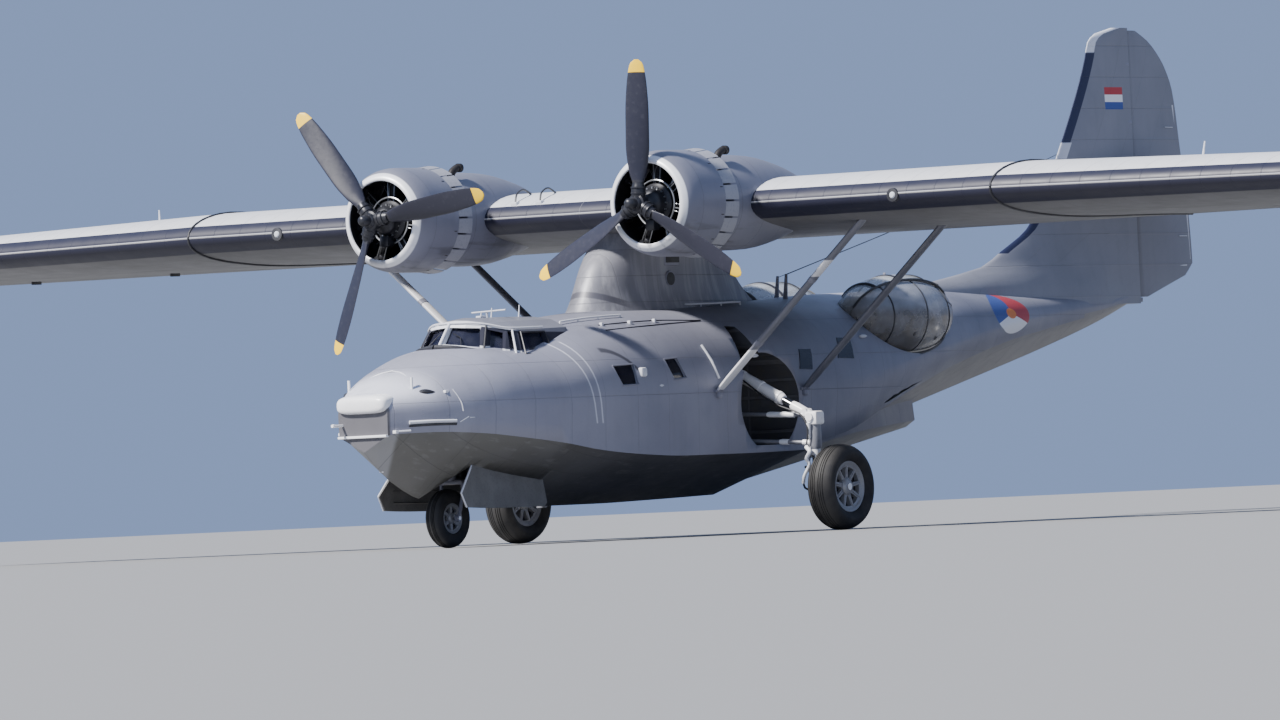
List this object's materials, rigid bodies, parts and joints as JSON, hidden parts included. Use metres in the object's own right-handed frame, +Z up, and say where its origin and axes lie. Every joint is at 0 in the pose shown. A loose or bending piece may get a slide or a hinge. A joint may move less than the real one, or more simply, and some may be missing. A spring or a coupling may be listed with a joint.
{
  "type": "twin-engine amphibian flying boat",
  "caption": "High-wing twin-engine amphibian flying boat on its wheels, with waist blisters and raised wing-tip floats.",
  "frame": {"origin": "on the ground under the middle of the aircraft's box", "axes": "+X to port along the span, +Y aft, +Z up"},
  "size_m": [31.7006, 19.14, 6.7],
  "materials": {
    "grey_paint": "satin, weathered",
    "bottom_paint": "matt",
    "white_paint": "satin",
    "black_paint": "satin",
    "cabin_paint": "matt",
    "gear_paint": "gloss",
    "surface_fabric": "doped and painted",
    "strut_metal": "satin",
    "engine_metal": "finned, dark",
    "wheel_metal": "satin",
    "tyre": "matt",
    "glass": "clear",
    "seat_leather": "worn"
  },
  "bodies": {
    "airframe": {"canopy_frame": "white_paint", "canopy_glass": "glass", "bow_pad": "white_paint", "hull_bow": "grey_paint", "hull_cockpit": "grey_paint", "hull_cabin": "grey_paint", "hull_centre": "grey_paint", "hull_waist": "grey_paint", "port_blister": "glass", "starboard_blister": "glass", "hull_tail": "grey_paint", "cabin_bulkhead": "cabin_paint", "instrument_panel": "black_paint", "port_seat": "seat_leather", "starboard_seat": "seat_leather", "control_yokes": "black_paint", "waist_seats": "cabin_paint", "wing_centre": "grey_paint", "port_wing": "grey_paint", "port_float": "grey_paint", "starboard_wing": "grey_paint", "starboard_float": "grey_paint", "pylon": "grey_paint", "port_front_strut": "strut_metal", "starboard_front_strut": "strut_metal", "port_rear_strut": "strut_metal", "starboard_rear_strut": "strut_metal", "port_engine": "engine_metal", "port_cowl": "grey_paint", "port_nacelle": "grey_paint", "starboard_engine": "engine_metal", "starboard_cowl": "grey_paint", "starboard_nacelle": "grey_paint", "fin": "grey_paint", "port_tailplane": "grey_paint", "starboard_tailplane": "grey_paint", "port_main_leg": "gear_paint", "starboard_main_leg": "gear_paint", "nose_post": "gear_paint", "port_nose_door": "bottom_paint", "starboard_nose_door": "bottom_paint"},
    "port_propeller_body": {"port_propeller": "black_paint"},
    "starboard_propeller_body": {"starboard_propeller": "black_paint"},
    "port_wheel_body": {"port_main_wheel": "wheel_metal", "port_main_tyre": "tyre"},
    "starboard_wheel_body": {"starboard_main_wheel": "wheel_metal", "starboard_main_tyre": "tyre"},
    "nose_fork_body": {"nose_fork": "gear_paint"},
    "nose_wheel_body": {"nose_wheel": "wheel_metal", "nose_tyre": "tyre"},
    "rudder_body": {"rudder": "surface_fabric"},
    "port_elevator_body": {"port_elevator": "surface_fabric"},
    "starboard_elevator_body": {"starboard_elevator": "surface_fabric"},
    "port_aileron_body": {"port_aileron": "surface_fabric"},
    "starboard_aileron_body": {"starboard_aileron": "surface_fabric"},
    "port_hatch_body": {"port_hatch": "glass"},
    "starboard_hatch_body": {"starboard_hatch": "glass"}
  },
  "joints": [
    {"name": "port_propeller_spin", "type": "hinge", "parent": "airframe", "child": "port_propeller_body", "pos_m": [2.134, -6.203, 4.255], "axis": [0, 1, 0], "continuous": true},
    {"name": "starboard_propeller_spin", "type": "hinge", "parent": "airframe", "child": "starboard_propeller_body", "pos_m": [-2.134, -6.203, 4.255], "axis": [0, 1, 0], "continuous": true},
    {"name": "port_wheel_spin", "type": "hinge", "parent": "airframe", "child": "port_wheel_body", "pos_m": [2.608, -2.729, 0.555], "axis": [1, 0, 0], "continuous": true},
    {"name": "starboard_wheel_spin", "type": "hinge", "parent": "airframe", "child": "starboard_wheel_body", "pos_m": [-2.608, -2.729, 0.555], "axis": [1, 0, 0], "continuous": true},
    {"name": "nose_steer", "type": "hinge", "parent": "airframe", "child": "nose_fork_body", "pos_m": [0, -7.56, 1], "axis": [0, 0, 1], "range_deg": [-30, 30]},
    {"name": "nose_wheel_spin", "type": "hinge", "parent": "nose_fork_body", "child": "nose_wheel_body", "pos_m": [0, -7.687, 0.375], "axis": [1, 0, 0], "continuous": true},
    {"name": "rudder_hinge", "type": "hinge", "parent": "airframe", "child": "rudder_body", "pos_m": [0, 8.21, 4.7], "axis": [0, 0, 1], "range_deg": [-20, 20]},
    {"name": "port_elevator_hinge", "type": "hinge", "parent": "airframe", "child": "port_elevator_body", "pos_m": [2.4, 8.16, 4.7], "axis": [1, 0, 0], "range_deg": [-20, 30]},
    {"name": "starboard_elevator_hinge", "type": "hinge", "parent": "airframe", "child": "starboard_elevator_body", "pos_m": [-2.4, 8.16, 4.7], "axis": [1, 0, 0], "range_deg": [-20, 30]},
    {"name": "port_aileron_hinge", "type": "hinge", "parent": "airframe", "child": "port_aileron_body", "pos_m": [8.35, -1.09725, 3.98428], "axis": [0.9989, -0.0477, -0.0036], "range_deg": [-20, 20]},
    {"name": "starboard_aileron_hinge", "type": "hinge", "parent": "airframe", "child": "starboard_aileron_body", "pos_m": [-8.35, -1.09725, 3.98428], "axis": [0.9989, 0.0477, 0.0036], "range_deg": [-20, 20]},
    {"name": "port_hatch_turn", "type": "hinge", "parent": "airframe", "child": "port_hatch_body", "pos_m": [1.03, 0.91, 2.78], "axis": [0, -1, 0], "range_deg": [0, 95]},
    {"name": "starboard_hatch_turn", "type": "hinge", "parent": "airframe", "child": "starboard_hatch_body", "pos_m": [-1.03, 0.91, 2.78], "axis": [0, 1, 0], "range_deg": [0, 95]}
  ],
  "couplings": [
    {"joint": "starboard_elevator_hinge", "follows": "port_elevator_hinge", "ratio": 1},
    {"joint": "starboard_aileron_hinge", "follows": "port_aileron_hinge", "ratio": -1}
  ]
}
